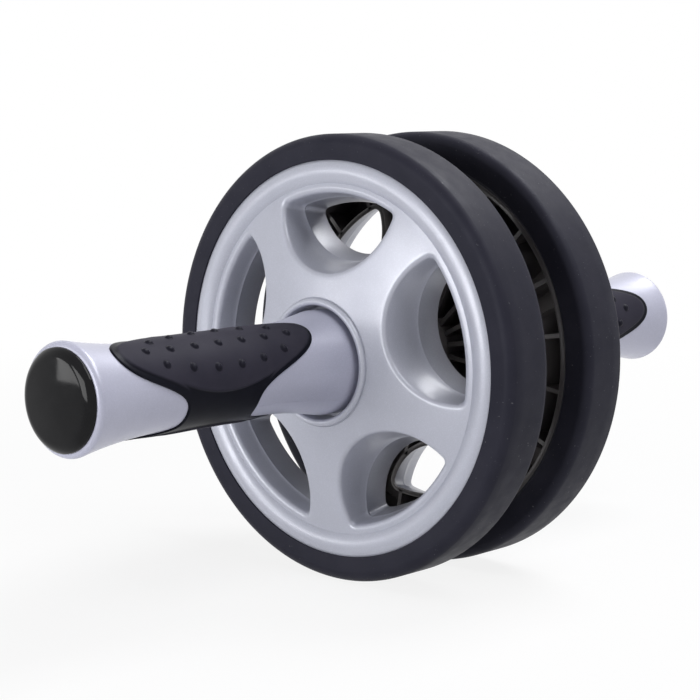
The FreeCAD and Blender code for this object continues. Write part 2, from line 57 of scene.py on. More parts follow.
# Driving sizes read from the frame
tyre_low, tyre_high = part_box("right_tyre")
wheel_low, wheel_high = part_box("right_wheel")
handle_low, handle_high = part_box("right_handle")
cap_low, cap_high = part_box("right_end_cap")


def in_mm(length):
    return round(length / MM, 1)


TYRE_RADIUS = in_mm((tyre_high.z - tyre_low.z) / 2)
AXLE_HEIGHT = TYRE_RADIUS
TYRE_INNER_LEVEL = in_mm(-tyre_high.y)
TYRE_OUTER_LEVEL = in_mm(-tyre_low.y)
LIP_RADIUS = in_mm((wheel_high.x - wheel_low.x) / 2)
COLLAR_TOP_LEVEL = in_mm(-wheel_low.y)
HUB_BACK_LEVEL = in_mm(-wheel_high.y)
HANDLE_START = in_mm(-handle_high.y)
HANDLE_END = in_mm(-handle_low.y)
CAP_TOP_LEVEL = in_mm(-cap_low.y)
CAP_RADIUS = in_mm((cap_high.z - cap_low.z) / 2)

# Tyre and rim
TYRE_DEPTH = 13.1
SEAT_BEVEL = 1.6
RIM_WALL = 2.4
FLANGE_WIDTH = 2.2
LIP_STEP = 0.8
LIP_RISE = 1.8
LIP_WIDTH = 9.5
GROOVE_DEPTH = 1.0
TYRE_SEAT_RADIUS = TYRE_RADIUS - TYRE_DEPTH
RIM_BACK_LEVEL = TYRE_INNER_LEVEL + SEAT_BEVEL
RIM_INNER_RADIUS = TYRE_SEAT_RADIUS - RIM_WALL
FLANGE_LEVEL = TYRE_OUTER_LEVEL - FLANGE_WIDTH
LIP_EDGE_LEVEL = TYRE_OUTER_LEVEL - LIP_STEP
GROOVE_RADIUS = LIP_RADIUS - LIP_WIDTH
GROOVE_LEVEL = TYRE_OUTER_LEVEL - GROOVE_DEPTH

# Face, collar and hub of the wheel
FACE_CROWN = 0.9
FACE_WALL = 3.2
NECK_RADIUS = 21.5
COLLAR_GAP = 1.9
COLLAR_WALL = 3.3
COLLAR_RISE = 2.2
SEAM_WIDTH = 0.6
SEAM_DEPTH = 0.2
BUSH_RADIUS = 9.5
HUB_WALL = 5.5
HUB_FLOOR_INSET = 4.3
HUB_FLOOR_WALL = 3.7
FACE_TOP_LEVEL = COLLAR_TOP_LEVEL - COLLAR_RISE
SOCKET_RADIUS = NECK_RADIUS + COLLAR_GAP
COLLAR_RADIUS = SOCKET_RADIUS + COLLAR_WALL
HUB_RADIUS = BUSH_RADIUS + HUB_WALL
HUB_FLOOR_LEVEL = HANDLE_START - HUB_FLOOR_INSET

# Pockets between the spokes
SPOKES = 5
HALF_STEP = math.pi / SPOKES
SPOKE_WIDTH = 18.6
POCKET_HUB_LAND = 10.9
POCKET_RIM_LAND = 3.0
POCKET_REACH = GROOVE_RADIUS - POCKET_RIM_LAND
POCKET_CENTRE = (COLLAR_RADIUS + POCKET_HUB_LAND - SPOKE_WIDTH / 2) / (1 - math.sin(HALF_STEP))
POCKET_RADIUS = POCKET_CENTRE * math.sin(HALF_STEP) - SPOKE_WIDTH / 2
POCKET_CORNER = 2.6
POCKET_WALL = 2.2
MOUTH_ROUND = 2.2
FLARE_RISE = 2.0
FLARE_GROWTH = 2.8
CREASE_DEPTH = 9.4
CREASE_INSET = 2.7
BACK_DEPTH = 19.0
BACK_INSET = 5.35
WHEEL_TURN = {"right": math.radians(88), "left": math.radians(62.5)}
# A pocket's wall turns at these levels, each with how far it stands outside the base outline there
POCKET_TOP = (COLLAR_TOP_LEVEL + FLARE_RISE, FLARE_GROWTH)
POCKET_CREASE = (TYRE_OUTER_LEVEL - CREASE_DEPTH, -CREASE_INSET)
POCKET_BACK = (TYRE_OUTER_LEVEL - BACK_DEPTH, -BACK_INSET)

# Ribs on the wheel's back, and how far they run into what they join
RIBS = 20
RIB_WIDTH = 1.8
RIB_HUB_BITE = 2.7
RIB_RIM_BITE = 1.2
RIB_COLLAR_BITE = 1.6
RIB_CROWN_RADII = (60.0, 50.0, 40.0)

# Handle
NECK_LENGTH = 8.0
NECK_ROUND = 0.8
TAPER_LENGTH = 41.0
WAIST_LENGTH = 48.0
WAIST_RADIUS = 17.2
FLARE_LENGTH = 40.5
FLARE_RADIUS = 21.35
BEND_SHARE = 0.25
END_DROP = 1.6
END_SAG = 0.12
NECK_END = HANDLE_START + NECK_LENGTH
WAIST_START = NECK_END + TAPER_LENGTH
WAIST_END = WAIST_START + WAIST_LENGTH
FLARE_END = WAIST_END + FLARE_LENGTH
END_RADIUS = FLARE_RADIUS - END_DROP
SCREW_RECESS_DEPTH = 14.0
SCREW_WASHER_THICKNESS = 1.2
BOSS_TOP_LEVEL = HANDLE_END - SCREW_RECESS_DEPTH
BOSS_RADIUS = 8.65
BORE_RADIUS = 5.05

# Parting lines along the handle's sides
PARTING_ANGLE = math.radians(-40)
PARTING_LINES = (PARTING_ANGLE % (2 * math.pi), PARTING_ANGLE + math.pi)
PARTING_SHIFTS = (-1.0, -0.45, 0.0, 0.45, 1.0)
PARTING_CLEARANCE = math.radians(2.0)
PARTING_TOLERANCE = 1e-3
PARTING_DEPTH = 0.14

# End cap
CAP_EDGE_HEIGHT = 0.9
CAP_SHOULDER_RISE = 2.4
CAP_SHOULDER_WIDTH = 4.0
CAP_BEND_SHARES = (0.58, 0.68)
CAP_WALL = 2.2
CAP_LEDGE_WIDTH = 2.9
PLUG_WALL = 1.8
PLUG_LENGTH = 6.0
PLUG_CLEARANCE = 0.12
CAP_EDGE_LEVEL = HANDLE_END + CAP_EDGE_HEIGHT
CAP_SHOULDER_LEVEL = CAP_EDGE_LEVEL + CAP_SHOULDER_RISE
PLUG_RADIUS = CAP_RADIUS - CAP_LEDGE_WIDTH

# Grip, whose reach each way from its middle is a mean and three waves round the handle
GRIP_OFFSET = 66.0
GRIP_MIDDLE = NECK_END + GRIP_OFFSET
GRIP_TURN = {"right": math.radians(54), "left": math.radians(22)}
GRIP_REACH = (33.5, 17.25, 1.43, -1.13)
GRIP_WEB = 0.75
GRIP_EDGE_ROUND = 0.7
GRIP_SINK = 0.25

# Raised pads of the grip, with a border that is wider at the outer end
PAD_RISE = 0.55
PAD_STEP_WIDTH = 0.8
PAD_RIDGE = 0.14
PAD_SHIFT = 1.0
PAD_MIDDLE = GRIP_MIDDLE - PAD_SHIFT
PAD_HALF_ANGLE = math.radians(61)
PAD_NARROWING = math.radians(12)
PAD_CREASE_HALF = 21.0
PAD_CREASE_LIMIT_SHARE = 1.2
PAD_OPEN_SHARE = 0.95
PAD_OPENING_SHARE = 0.25
PAD_BORDER = {1: 2.9, -1: 1.9}

# Bumps on the pads
BUMP_SHIFT = 2.0
BUMP_MIDDLE = GRIP_MIDDLE - BUMP_SHIFT
BUMP_PITCH = 12.3
BUMP_REACH = 3
BUMP_RADIUS = 1.45
BUMP_HEIGHT = 1.0
BUMP_MATT = 0.35
BUMP_MIDDLE_TURN = math.radians(2)
BUMP_ROW_ANGLE = math.radians(31)
BUMP_ROW_NARROWING = math.radians(12)
# The dome's outline from its sunken foot to its top, as shares of its radius and height
BUMP_SHARES = (
    (1.3, -0.35), (1.3, 0.02), (1.12, 0.13), (0.98, 0.34),
    (0.84, 0.60), (0.62, 0.82), (0.34, 0.95), (0.0, 1.0),
)


def place(side, x, z, level):
    """A point in the row frame, in metres, from a place in the wheel's plane and a level."""
    return Vector((x, OUTWARD[side] * level, AXLE_HEIGHT + z)) * MM


def polar(radius, angle):
    return radius * math.cos(angle), radius * math.sin(angle)


def even_angles(count):
    return [2 * math.pi * step / count for step in range(count)]


def blend(first, last, share):
    return first + (last - first) * share


def smooth_step(share):
    share = min(max(share, 0), 1)
    return share * share * (3 - 2 * share)


def circle_through(first, middle, last):
    """The centre and radius of the circle through three points."""
    (ax, ay), (bx, by), (cx, cy) = first, middle, last
    double_area = 2 * (ax * (by - cy) + bx * (cy - ay) + cx * (ay - by))
    a, b, c = ax * ax + ay * ay, bx * bx + by * by, cx * cx + cy * cy
    x = (a * (by - cy) + b * (cy - ay) + c * (ay - by)) / double_area
    y = (a * (cx - bx) + b * (ax - cx) + c * (bx - ax)) / double_area
    return x, y, math.hypot(ax - x, ay - y)


def arc_height(first, middle, last):
    """A function that gives the height of the arc through three points at any place along it."""
    x, y, radius = circle_through(first, middle, last)
    side = 1 if middle[1] > y else -1
    return lambda place_along: y + side * math.sqrt(radius ** 2 - (place_along - x) ** 2)


def arc(first, middle, last, steps):
    """Points along the arc through three points, with both ends."""
    x, y, radius = circle_through(first, middle, last)
    start, halfway, end = (math.atan2(p[1] - y, p[0] - x) for p in (first, middle, last))
    turn = (end - start) % (2 * math.pi)
    if (halfway - start) % (2 * math.pi) > turn:
        turn -= 2 * math.pi
    angles = [start + turn * step / steps for step in range(steps + 1)]
    return [(x + radius * math.cos(angle), y + radius * math.sin(angle)) for angle in angles]


def fillet(before, corner, after, radius, steps):
    """Points that round a corner between two straight runs."""
    corner = Vector(corner)
    inward = (Vector(before) - corner).normalized()
    onward = (Vector(after) - corner).normalized()
    half = inward.angle(onward) / 2
    bisector = (inward + onward).normalized()
    centre = corner + bisector * (radius / math.sin(half))
    start = corner + inward * (radius / math.tan(half)) - centre
    end = corner + onward * (radius / math.tan(half)) - centre
    turn = start.angle(end)
    points = []
    for step in range(steps + 1):
        share = step / steps
        spoke = start * (math.sin((1 - share) * turn)) + end * math.sin(share * turn)
        points.append(tuple(centre + spoke / math.sin(turn)))
    return points


class Shell:
    """The points and faces of one piece while it is being built."""

    def __init__(self):
        self.points = []
        self.faces = []
        self.marks = []

    def strip(self, rings, loop=False, marks=()):
        """Joins rings of equal length, each closed round, and the last to the first for a loop."""
        start, count = len(self.points), len(rings[0])
        for ring in rings:
            self.points.extend(ring)
        for mark in marks:
            self.marks += [mark] * count
        for row in range(len(rings) if loop else len(rings) - 1):
            near = start + row * count
            far = start + (row + 1) % len(rings) * count
            for column in range(count):
                after = (column + 1) % count
                self.faces.append((near + column, near + after, far + after, far + column))

    def lathe(self, side, outline, angles, loop=True, marks=()):
        """Turns an outline of (radius, level) points about the axle."""
        self.strip([[place(side, *polar(radius, angle), level) for angle in angles]
                    for radius, level in outline], loop, marks)

    def slab(self, side, outline, angle, width, mark):
        """A flat rib of (radius, level) points that stands on a line out from the axle."""
        start, count = len(self.points), len(outline)
        self.marks += [mark] * (2 * count)
        for shift in (-width / 2, width / 2):
            aside = polar(shift, angle + math.pi / 2)
            for radius, level in outline:
                x, z = polar(radius, angle)
                self.points.append(place(side, x + aside[0], z + aside[1], level))
        self.faces.append(tuple(range(start, start + count)))
        self.faces.append(tuple(range(start + count, start + 2 * count)))
        for corner in range(count):
            after = (corner + 1) % count
            self.faces.append((start + corner, start + after, start + count + after, start + count + corner))

    def piece(self, name, body, node, material, sharp_angle=SHARP_ANGLE):
        """Makes the welded, smooth-shaded object and sets it on its body in place of its node."""
        mesh = bpy.data.meshes.new(name)
        mesh.from_pydata(self.points, [], self.faces)
        if self.marks:
            mesh.attributes.new(FINISH_AND_PAINTED_SHADE, "FLOAT", "POINT").data.foreach_set("value", self.marks)
        work = bmesh.new()
        work.from_mesh(mesh)
        bmesh.ops.remove_doubles(work, verts=work.verts, dist=WELD_DISTANCE)
        bmesh.ops.recalc_face_normals(work, faces=work.faces)
        work.to_mesh(mesh)
        work.free()
        mesh.shade_smooth()
        mesh.set_sharp_from_angle(angle=math.radians(sharp_angle))
        mesh.materials.append(material)
        made = bpy.data.objects.new(name, mesh)
        bpy.context.scene.collection.objects.link(made)
        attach(made, body)
        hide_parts(node)
        return made


# Materials

class Paint:
    """A node material with a Principled shader and short ways to add to it."""

    def __init__(self, name, **constants):
        self.material = bpy.data.materials.new(name)
        self.material.use_nodes = True
        self.nodes = self.material.node_tree.nodes
        self.links = self.material.node_tree.links
        self.shader = self.nodes["Principled BSDF"]
        for socket, value in constants.items():
            self.shader.inputs[socket.replace("_", " ")].default_value = value
        self.place = self.nodes.new("ShaderNodeTexCoord").outputs["Object"]

    def stretched(self, scale):
        mapping = self.nodes.new("ShaderNodeMapping")
        mapping.inputs["Scale"].default_value = scale
        self.links.new(self.place, mapping.inputs["Vector"])
        return mapping.outputs["Vector"]

    def noise(self, grain, detail=3.0, vector=None):
        """Noise whose grains are that many millimetres across."""
        node = self.nodes.new("ShaderNodeTexNoise")
        node.inputs["Scale"].default_value = 1 / (grain * MM)
        node.inputs["Detail"].default_value = detail
        self.links.new(vector or self.place, node.inputs["Vector"])
        return node.outputs["Fac"]

    def cells(self, grain):
        """A random number for each of many small cells, that many millimetres across."""
        node = self.nodes.new("ShaderNodeTexVoronoi")
        node.inputs["Scale"].default_value = 1 / (grain * MM)
        self.links.new(self.place, node.inputs["Vector"])
        split = self.nodes.new("ShaderNodeSeparateColor")
        self.links.new(node.outputs["Color"], split.inputs["Color"])
        return split.outputs["Red"]

    def mark(self, name):
        """A share that the mesh carries at its points."""
        node = self.nodes.new("ShaderNodeAttribute")
        node.attribute_name = name
        return node.outputs["Fac"]

    def spread(self, value, low, high, start=0.3, end=0.7):
        """Stretches a noise value over a range."""
        node = self.nodes.new("ShaderNodeMapRange")
        node.inputs["From Min"].default_value = start
        node.inputs["From Max"].default_value = end
        node.inputs["To Min"].default_value = low
        node.inputs["To Max"].default_value = high
        self.links.new(value, node.inputs["Value"])
        return node.outputs["Result"]

    def mix(self, share, first, second):
        """A colour between two, each a plain colour or a link."""
        node = self.nodes.new("ShaderNodeMix")
        node.data_type = "RGBA"
        self.links.new(share, node.inputs["Factor"])
        for socket, colour in (("A", first), ("B", second)):
            target = next(s for s in node.inputs if s.name == socket and s.type == "RGBA")
            if isinstance(colour, tuple):
                target.default_value = colour + (1,)
            else:
                self.links.new(colour, target)
        return next(s for s in node.outputs if s.type == "RGBA")

    def colour(self, link):
        self.links.new(link, self.shader.inputs["Base Color"])

    def roughness(self, link):
        self.links.new(link, self.shader.inputs["Roughness"])

    def bump(self, height, depth, strength=1.0):
        """Relief from a height between 0 and 1, that many millimetres deep."""
        node = self.nodes.new("ShaderNodeBump")
        node.inputs["Strength"].default_value = strength
        node.inputs["Distance"].default_value = depth * MM
        self.links.new(height, node.inputs["Height"])
        self.links.new(node.outputs["Normal"], self.shader.inputs["Normal"])


SPARKLE_GAIN = 1.35


def silver_plastic(name, light, dark, roughness, painted_shade=None):
    """Moulded plastic with silver lacquer on it: a fine sparkle, faint flow clouds and a clear gloss.

    Where the mesh is marked, a dark colour is mixed in as painted shade: on the back of the wheel and deep
    in its pockets, where shade falls.
    """
    paint = Paint(name, Metallic=0.15, Specular_IOR_Level=0.5, Coat_Weight=0.4, Coat_Roughness=0.18)
    clouds = paint.spread(paint.noise(26, 2), 0, 1)
    cloudy = paint.mix(clouds, dark, light)
    sparkle = paint.spread(paint.cells(0.32), 0, 0.22, 0.55, 1.0)
    silver = paint.mix(sparkle, cloudy, tuple(min(1, tone * SPARKLE_GAIN) for tone in light))
    # Where marked, the dark colour is mixed in as painted shade
    paint.colour(paint.mix(paint.mark(FINISH_AND_PAINTED_SHADE), silver, painted_shade) if painted_shade else silver)
    paint.roughness(paint.spread(paint.noise(9, 4), roughness - 0.04, roughness + 0.05))
    paint.bump(paint.noise(0.5, 2), 0.012, 0.5)
    return paint.material


RUBBER_SHEEN = (0.84, 0.87, 1.0, 1.0)
DUST = (0.16, 0.16, 0.17)


def tread_rubber():
    """Moulded tyre rubber: a fine matt grain, cloudy sheen and a few specks of dust."""
    paint = Paint("tyre_rubber", Specular_IOR_Level=0.1, Specular_Tint=RUBBER_SHEEN)
    clouds = paint.spread(paint.noise(14, 4), 0, 1)
    dusty = paint.spread(paint.noise(1.1, 2), 0, 0.5, 0.70, 0.78)
    rubber = paint.mix(clouds, (0.0184, 0.0182, 0.0275), (0.0242, 0.0237, 0.0345))
    paint.colour(paint.mix(dusty, rubber, DUST))
    paint.roughness(paint.spread(paint.noise(6, 4), 0.44, 0.56))
    paint.bump(paint.noise(0.45, 3), 0.03, 0.6)
    return paint.material


def handle_rubber():
    """Soft grip rubber: matt pads with a fine grain, in a smoother and darker border."""
    paint = Paint("grip_rubber", Specular_IOR_Level=0.07, Specular_Tint=RUBBER_SHEEN)
    pad = paint.mark(FINISH_AND_PAINTED_SHADE)
    clouds = paint.spread(paint.noise(14, 4), 0, 1)
    smooth = paint.mix(clouds, (0.0045, 0.0047, 0.0085), (0.006, 0.0063, 0.011))
    matt = paint.mix(clouds, (0.026, 0.0245, 0.036), (0.033, 0.031, 0.044))
    paint.colour(paint.mix(pad, smooth, matt))
    paint.roughness(paint.spread(pad, 0.34, 0.56, 0, 1))
    paint.bump(paint.noise(0.45, 3), 0.04, 0.6)
    return paint.material


def gloss_black():
    """Polished black plastic with a faint orange peel and a slightly uneven polish."""
    paint = Paint("gloss_black", Specular_IOR_Level=0.15)
    clouds = paint.spread(paint.noise(8, 3), 0, 1)
    paint.colour(paint.mix(clouds, (0.003, 0.003, 0.004), (0.006, 0.006, 0.007)))
    paint.roughness(paint.spread(paint.noise(5, 5), 0.05, 0.1))
    paint.bump(paint.noise(7, 1), 0.02, 0.12)
    return paint.material


def turned_steel(name, light, dark, roughness):
    """Bright metal with fine turning marks round the axle."""
    paint = Paint(name, Metallic=1.0)
    marks = paint.noise(2.0, 3, paint.stretched((0.15, 12, 0.15)))
    paint.colour(paint.mix(paint.spread(marks, 0, 1), dark, light))
    paint.roughness(paint.spread(paint.noise(4, 3), roughness - 0.06, roughness + 0.08))
    paint.bump(marks, 0.01, 0.4)
    return paint.material


def pale_acetal():
    """Slippery off-white bearing plastic with a slight bloom."""
    paint = Paint("pale_acetal", Specular_IOR_Level=0.5, Subsurface_Weight=0.05)
    paint.colour(paint.mix(paint.spread(paint.noise(5, 3), 0, 1), (0.72, 0.70, 0.64), (0.80, 0.78, 0.73)))
    paint.roughness(paint.spread(paint.noise(3, 3), 0.34, 0.44))
    paint.bump(paint.noise(0.8, 2), 0.01, 0.3)
    return paint.material


# The wheel's dark colour is painted shade, for its back and the deep parts of its pockets
wheel_silver = silver_plastic(
    "wheel_silver", (0.45, 0.464, 0.54), (0.42, 0.433, 0.505), 0.39, painted_shade=(0.085, 0.078, 0.08))
handle_silver = silver_plastic("handle_silver", (0.45, 0.456, 0.565), (0.42, 0.426, 0.535), 0.42)
tyre_rubber = tread_rubber()
grip_rubber = handle_rubber()
cap_gloss = gloss_black()
axle_steel = turned_steel("axle_steel", (0.58, 0.57, 0.55), (0.48, 0.47, 0.46), 0.30)
zinc_steel = turned_steel("zinc_steel", (0.66, 0.66, 0.64), (0.55, 0.56, 0.57), 0.38)
bush_acetal = pale_acetal()


# Wheel

face_level = arc_height(
    (GROOVE_RADIUS, GROOVE_LEVEL),
    ((GROOVE_RADIUS + COLLAR_RADIUS) / 2, (GROOVE_LEVEL + FACE_TOP_LEVEL) / 2 + FACE_CROWN),
    (COLLAR_RADIUS, FACE_TOP_LEVEL))


def under_level(radius):
    return face_level(radius) - FACE_WALL


def pocket_growth(level):
    """How far a pocket's wall stands outside its base outline at a level."""
    high, low = (POCKET_TOP, POCKET_CREASE) if level > POCKET_CREASE[0] else (POCKET_CREASE, POCKET_BACK)
    return blend(low[1], high[1], (level - low[0]) / (high[0] - low[0]))


RIM_STEPS = 20
CORNER_STEPS = 10
CIRCLE_STEPS = 60
LAST_RUN = 3
HALVINGS = 50
MEETING_STEPS = 12
TURN_TOLERANCE = 1e-9
# A point inside the pocket from which both its outline and the sector round it are seen whole
EYE_INSET = 14.0
SECTOR_EYE = Vector((POCKET_CENTRE - EYE_INSET, 0))
SECTOR_CORNERS = [Vector(polar(GROOVE_RADIUS, HALF_STEP)), Vector(polar(COLLAR_RADIUS, HALF_STEP))]


def outline_spot(run, growth, wall=0.0):
    """A point of a pocket's half outline, and the way that it faces there.

    The run goes from 0 to 1 along the rim, to 2 round the corner and to 3 along the hub's side.
    """
    reach = POCKET_REACH + growth - POCKET_CORNER
    radius = POCKET_RADIUS + growth - POCKET_CORNER
    x = (reach ** 2 - radius ** 2 + POCKET_CENTRE ** 2) / (2 * POCKET_CENTRE)
    y = math.sqrt(reach ** 2 - x ** 2)
    rim_end = math.atan2(y, x)
    corner_end = math.atan2(y, x - POCKET_CENTRE)
    if run < 1:
        facing, centre, length = rim_end * run, Vector((0, 0)), reach
    elif run < 2:
        facing, centre, length = blend(rim_end, corner_end, run - 1), Vector((x, y)), 0.0
    else:
        facing, centre, length = blend(corner_end, math.pi, run - 2), Vector((POCKET_CENTRE, 0)), radius
    normal = Vector(polar(1, facing))
    return centre + normal * (length + POCKET_CORNER + wall), normal


def turn_from_eye(spot):
    return math.atan2(spot.y, spot.x - SECTOR_EYE.x)


def run_towards(target):
    """The run at which the line from the eye to a target crosses the outline."""
    wanted = turn_from_eye(target)
    low, high = 0.0, float(LAST_RUN)
    for _ in range(HALVINGS):
        middle = (low + high) / 2
        if turn_from_eye(outline_spot(middle, 0.0)[0]) < wanted:
            low = middle
        else:
            high = middle
    return (low + high) / 2


def outline_runs():
    """The runs to sample, with the two that look at the corners of the spoke's sector."""
    runs = [step / RIM_STEPS for step in range(RIM_STEPS)]
    runs += [1 + step / CORNER_STEPS for step in range(CORNER_STEPS)]
    runs += [2 + step / CIRCLE_STEPS for step in range(CIRCLE_STEPS + 1)]
    for corner in SECTOR_CORNERS:
        wanted = run_towards(corner)
        nearest = min(range(1, len(runs) - 1), key=lambda index: abs(runs[index] - wanted))
        runs[nearest] = wanted
    return runs


def sector_edge(run):
    """Where the line from the eye through a run leaves the sector between two spokes' middles."""
    eye = SECTOR_EYE
    point = outline_spot(run, 0.0)[0]
    ray = (point - eye).normalized()
    turn = turn_from_eye(point)
    groove_turn, collar_turn = (turn_from_eye(corner) for corner in SECTOR_CORNERS)
    along = eye.dot(ray)
    if turn <= groove_turn + TURN_TOLERANCE:
        length = -along + math.sqrt(along ** 2 - eye.length_squared + GROOVE_RADIUS ** 2)
        return eye + ray * length, "groove"
    if turn >= collar_turn - TURN_TOLERANCE:
        length = -along - math.sqrt(along ** 2 - eye.length_squared + COLLAR_RADIUS ** 2)
        return eye + ray * length, "collar"
    spoke = Vector(polar(1, HALF_STEP))
    return eye + ray * (eye.cross(spoke) / spoke.cross(ray)), "spoke"


def meeting_growth(run, wall, level_at):
    """The growth at which a pocket's wall, or its far side, meets a face."""
    growth = 0.0
    for _ in range(MEETING_STEPS):
        growth = pocket_growth(level_at(outline_spot(run, growth, wall)[0].length))
    return growth


FACE_RINGS = 7
FILLET_RINGS = 6
WALL_RINGS = 4
# The bead at the crease: how far above it, and how high the bead stands there
BEAD_SHAPE = ((0.55, 0.0), (0.33, 0.10), (0.11, 0.16), (-0.11, 0.16), (-0.33, 0.10), (-0.55, 0.0))
# How strong the painted shade is at the crease and at the back edge, and the level behind which rim and hub
# get painted shade in full
CREASE_PAINTED_SHADE = 0.14
BACK_EDGE_PAINTED_SHADE = 0.5
PAINTED_SHADE_LEVEL = TYRE_OUTER_LEVEL - 2.5
BACK_EDGE_ROUND = 0.35
BACK_EDGE_STEPS = 2
RIM_EDGE_ROUND = 0.4
EDGE_STEPS = 3
LIP_STEPS = 14
COLLAR_STEPS = 10
SPOKE_TOLERANCE = 1e-6


def pocket_section(run):
    """One line of points: face, rounded mouth, wall with a fine bead, back edge, wall, underside.

    Each has its place in plan, its level, and how much painted shade darkens it.
    """
    edge, _ = sector_edge(run)
    mouth_growth = meeting_growth(run, 0.0, face_level)
    base, normal = outline_spot(run, mouth_growth)

    def inside(growth):
        if growth > mouth_growth:
            return base + normal * (growth - mouth_growth)
        return outline_spot(run, growth)[0]

    mouth = (mouth_growth, face_level(base.length))
    outside = (mouth_growth + 1, face_level((base + normal).length))
    crease = POCKET_CREASE[::-1]
    back_level, back_growth = POCKET_BACK
    back = (back_growth, back_level)
    far_back = (back_growth + POCKET_WALL, back_level)
    far_crease = (POCKET_CREASE[1] + POCKET_WALL, POCKET_CREASE[0])
    rounding = fillet(outside, mouth, crease, MOUTH_ROUND, FILLET_RINGS)
    bend = [(pocket_growth(POCKET_CREASE[0] + rise) - height, POCKET_CREASE[0] + rise)
            for rise, height in BEAD_SHAPE]
    start = inside(rounding[0][0])
    section = []
    for step in range(FACE_RINGS):
        spot = edge.lerp(start, step / FACE_RINGS)
        section.append((spot, face_level(spot.length), 0.0))
    upper, lower = rounding[-1], bend[0]
    walls = [(blend(upper[0], lower[0], step / WALL_RINGS), blend(upper[1], lower[1], step / WALL_RINGS))
             for step in range(1, WALL_RINGS)]
    section += [(inside(growth), level, 0.0) for growth, level in rounding]
    # The wall gets more painted shade towards the crease, and full painted shade at the back edge and behind
    # it
    section += [(inside(growth), level, CREASE_PAINTED_SHADE * step / WALL_RINGS)
                for step, (growth, level) in enumerate(walls, 1)]
    section += [(inside(growth), level, CREASE_PAINTED_SHADE) for growth, level in bend]
    edges = fillet(crease, back, far_back, BACK_EDGE_ROUND, BACK_EDGE_STEPS)
    edges += fillet(back, far_back, far_crease, BACK_EDGE_ROUND, BACK_EDGE_STEPS)
    for step, (growth, level) in enumerate(edges):
        spot = outline_spot(run, back_growth, growth - back_growth)[0]
        section.append((spot, level, 1.0 if step else BACK_EDGE_PAINTED_SHADE))
    section.append((outline_spot(run, POCKET_CREASE[1], POCKET_WALL)[0], POCKET_CREASE[0], 1.0))
    under = outline_spot(run, meeting_growth(run, POCKET_WALL, under_level), POCKET_WALL)[0]
    for step in range(WALL_RINGS + 1):
        spot = under.lerp(edge, step / WALL_RINGS)
        section.append((spot, under_level(spot.length), 1.0))
    return section


def turned(spot, angle):
    cosine, sine = math.cos(angle), math.sin(angle)
    return spot.x * cosine - spot.y * sine, spot.x * sine + spot.y * cosine


def ring_angles(runs, kind):
    """The angles of one sector's points on the groove or the collar, from one spoke to the next."""
    edges = [sector_edge(run) for run in runs]
    half = sorted(math.atan2(edge.y, edge.x) for edge, found in edges if found == kind)
    return [-angle for angle in reversed(half[1:])] + half[:-1]


def rim_outline():
    """The rim from the groove over the lip, round the tyre's seat and back under the face."""
    lip_crest = ((LIP_RADIUS + GROOVE_RADIUS) / 2, LIP_EDGE_LEVEL + LIP_RISE)
    lip = arc((GROOVE_RADIUS, GROOVE_LEVEL), lip_crest, (LIP_RADIUS, LIP_EDGE_LEVEL), LIP_STEPS)
    return lip + [
        (LIP_RADIUS, FLANGE_LEVEL),
        (TYRE_SEAT_RADIUS, FLANGE_LEVEL),
        *fillet((TYRE_SEAT_RADIUS, FLANGE_LEVEL), (TYRE_SEAT_RADIUS, RIM_BACK_LEVEL),
                (RIM_INNER_RADIUS, RIM_BACK_LEVEL), RIM_EDGE_ROUND, EDGE_STEPS),
        *fillet((TYRE_SEAT_RADIUS, RIM_BACK_LEVEL), (RIM_INNER_RADIUS, RIM_BACK_LEVEL),
                (RIM_INNER_RADIUS, GROOVE_LEVEL), RIM_EDGE_ROUND, EDGE_STEPS),
        (RIM_INNER_RADIUS, under_level(GROOVE_RADIUS)),
        (GROOVE_RADIUS, under_level(GROOVE_RADIUS)),
    ]


def hub_outline():
    """The hub from under the face, round the bush's bore and the socket, up over the collar."""
    under_floor = HUB_FLOOR_LEVEL - HUB_FLOOR_WALL
    collar_start = COLLAR_RADIUS - SEAM_WIDTH
    collar_inner = (SOCKET_RADIUS, (FACE_TOP_LEVEL + COLLAR_TOP_LEVEL) / 2)
    collar_crest = ((collar_start + SOCKET_RADIUS) / 2, COLLAR_TOP_LEVEL)
    return [
        (COLLAR_RADIUS, under_level(COLLAR_RADIUS)),
        (COLLAR_RADIUS, under_floor),
        (HUB_RADIUS, under_floor),
        (HUB_RADIUS, HUB_BACK_LEVEL),
        (BUSH_RADIUS, HUB_BACK_LEVEL),
        (BUSH_RADIUS, HUB_FLOOR_LEVEL),
        (SOCKET_RADIUS, HUB_FLOOR_LEVEL),
        *arc(collar_inner, collar_crest, (collar_start, FACE_TOP_LEVEL), COLLAR_STEPS),
        (COLLAR_RADIUS - SEAM_WIDTH / 2, FACE_TOP_LEVEL - SEAM_DEPTH),
        (COLLAR_RADIUS, FACE_TOP_LEVEL),
    ]


def pocket_span(angle, growth):
    """Where a line out from the axle enters and leaves a pocket that has grown that far."""
    radius, reach = POCKET_RADIUS + growth, POCKET_REACH + growth
    x, y = polar(POCKET_CENTRE, angle)
    return x - math.sqrt(radius ** 2 - y ** 2), min(reach, x + math.sqrt(radius ** 2 - y ** 2))


def mid_face(radius):
    """The level in the middle of the face's wall."""
    return under_level(radius) + FACE_WALL / 2


def rib_stop(to_pocket, end):
    """Where a rib stops inside a pocket's wall, at the near or the far end, from the back up to the face."""
    def stop(level):
        return pocket_span(to_pocket, pocket_growth(level) + POCKET_WALL / 2)[end], level

    back, crease = stop(POCKET_BACK[0]), stop(POCKET_CREASE[0])
    return [back, crease, stop(mid_face(crease[0]))]


